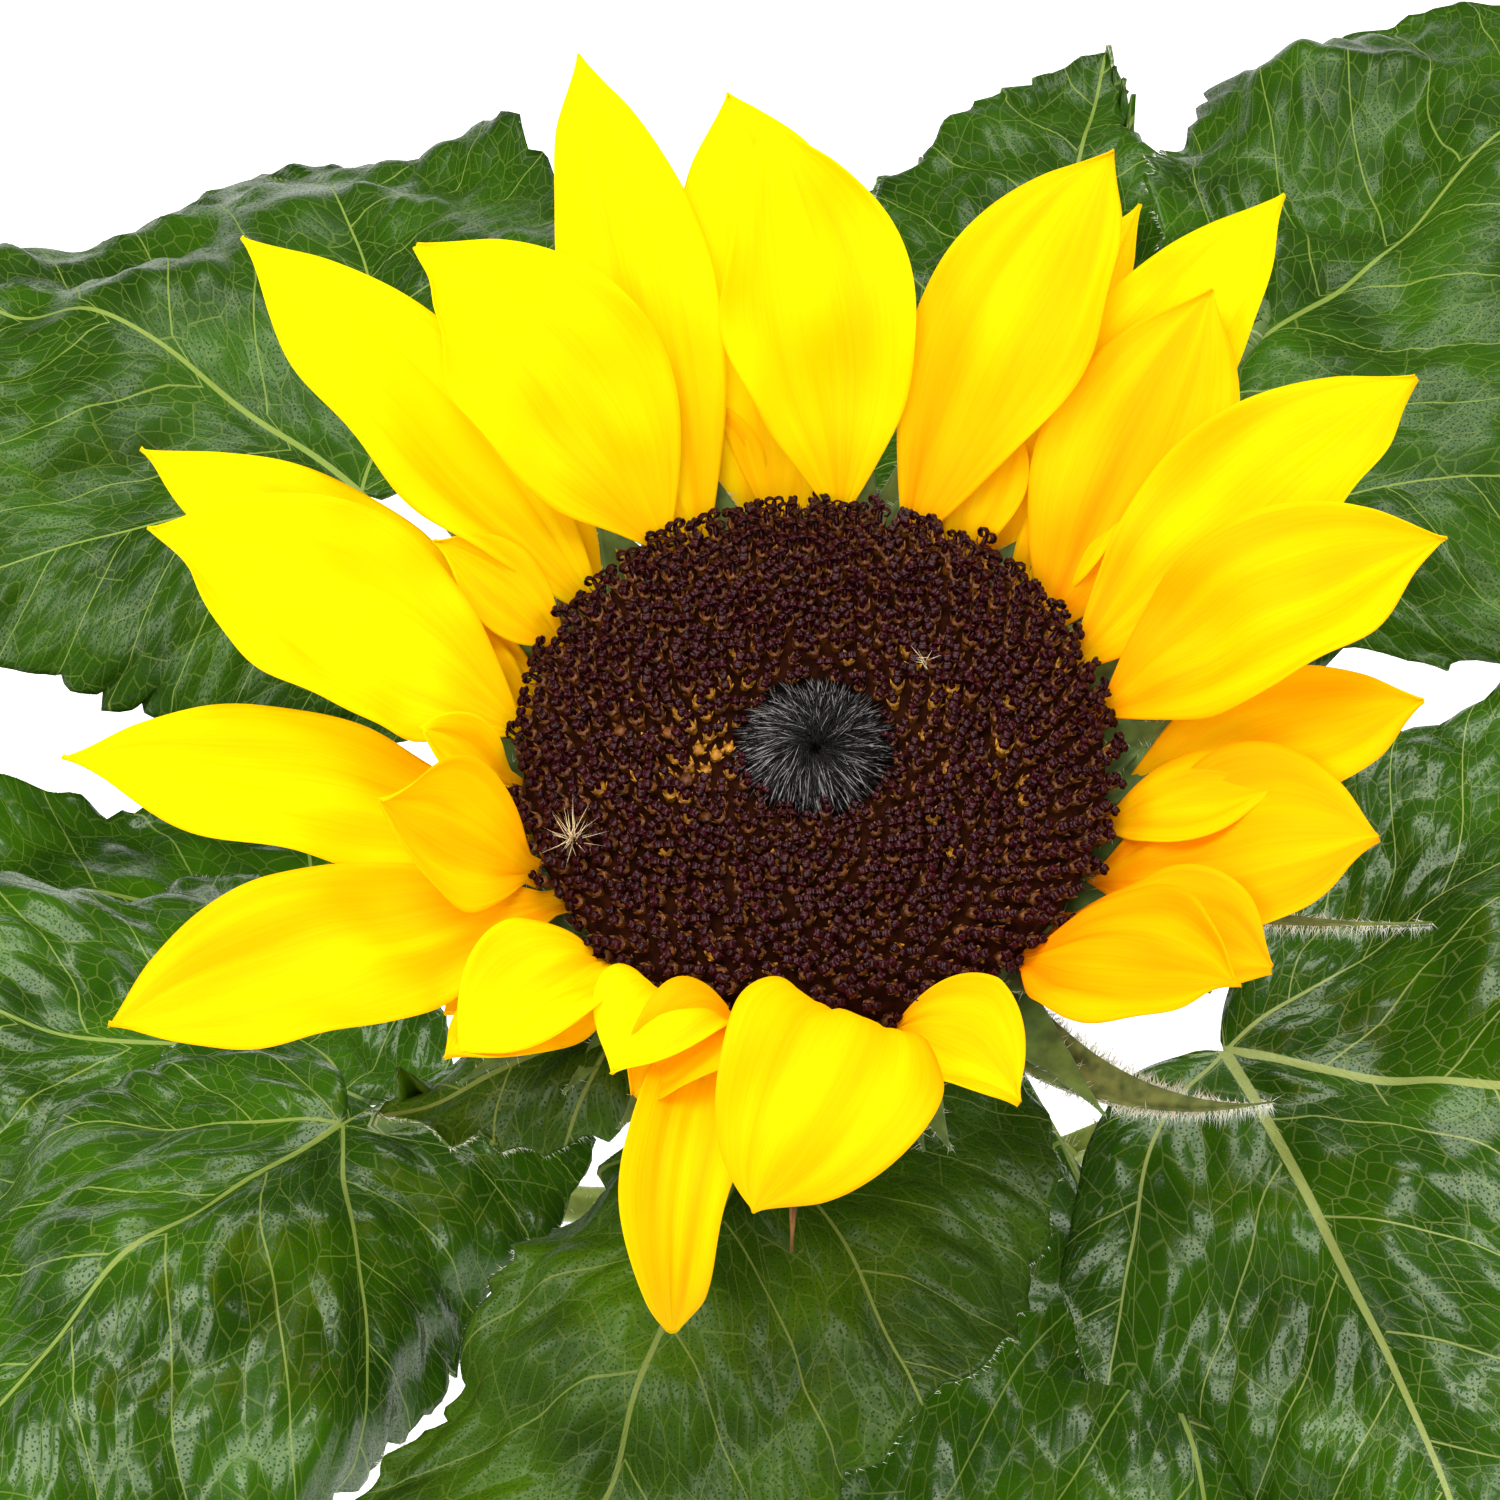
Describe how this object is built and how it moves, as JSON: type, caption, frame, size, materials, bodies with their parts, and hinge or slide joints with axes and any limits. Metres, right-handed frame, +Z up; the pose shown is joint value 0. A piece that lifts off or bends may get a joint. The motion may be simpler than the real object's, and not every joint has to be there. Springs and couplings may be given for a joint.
{
  "type": "sunflower plant",
  "caption": "Compact rooted sunflower: one wide yellow bloom with a dark disc on an upright stem, ringed by large stalked leaves on all sides.",
  "frame": {"origin": "middle of the flat cut under the stem, at ground level", "axes": "+Z up the stem, -Y the side the bloom is tilted to, +X to the right when seen from -Y"},
  "size_m": [0.2897, 0.3143, 0.4245],
  "materials": {
    "ray_petal": "satin, saturated yellow, amber towards the foot",
    "disc_floret": "dark maroon-brown florets, small glossy edges",
    "leaf_blade": "glossy dark green, quilted, pale veins",
    "leaf_stalk": "matt pale green, hairy",
    "stem_skin": "matt green, ribbed, hairy",
    "bract_green": "matt dull green, hairy"
  },
  "bodies": {
    "root": {"stem": "stem_skin", "bloom_base": "bract_green", "bloom_disc": "disc_floret", "bract_cup": "bract_green", "bract_long": "bract_green", "bract_thin": "bract_green", "ray_01": "ray_petal", "ray_02": "ray_petal", "ray_03": "ray_petal", "ray_04": "ray_petal", "ray_05": "ray_petal", "ray_06": "ray_petal", "ray_07": "ray_petal", "ray_08": "ray_petal", "ray_09": "ray_petal", "ray_10": "ray_petal", "ray_11": "ray_petal", "ray_12": "ray_petal", "ray_13": "ray_petal", "ray_14": "ray_petal", "ray_15": "ray_petal", "ray_16": "ray_petal", "ray_17": "ray_petal", "ray_18": "ray_petal", "ray_19": "ray_petal", "ray_20": "ray_petal", "ray_21": "ray_petal", "ray_22": "ray_petal", "ray_23": "ray_petal", "ray_24": "ray_petal", "ray_25": "ray_petal", "ray_26": "ray_petal", "ray_27": "ray_petal", "stalk_front_left": "leaf_stalk", "leaf_front_left": "leaf_blade", "stalk_left": "leaf_stalk", "leaf_left": "leaf_blade", "stalk_left_under": "leaf_stalk", "leaf_left_under": "leaf_blade", "stalk_back_left": "leaf_stalk", "leaf_back_left": "leaf_blade", "stalk_back_right": "leaf_stalk", "leaf_back_right": "leaf_blade", "stalk_back": "leaf_stalk", "leaf_back": "leaf_blade", "stalk_back_under": "leaf_stalk", "leaf_back_under": "leaf_blade", "stalk_right": "leaf_stalk", "leaf_right": "leaf_blade", "stalk_front": "leaf_stalk", "leaf_front": "leaf_blade", "stalk_front_under": "leaf_stalk", "leaf_front_under": "leaf_blade", "stalk_low_left": "leaf_stalk", "leaf_low_left": "leaf_blade", "stalk_low_right": "leaf_stalk", "leaf_low_right": "leaf_blade"}
  },
  "joints": []
}
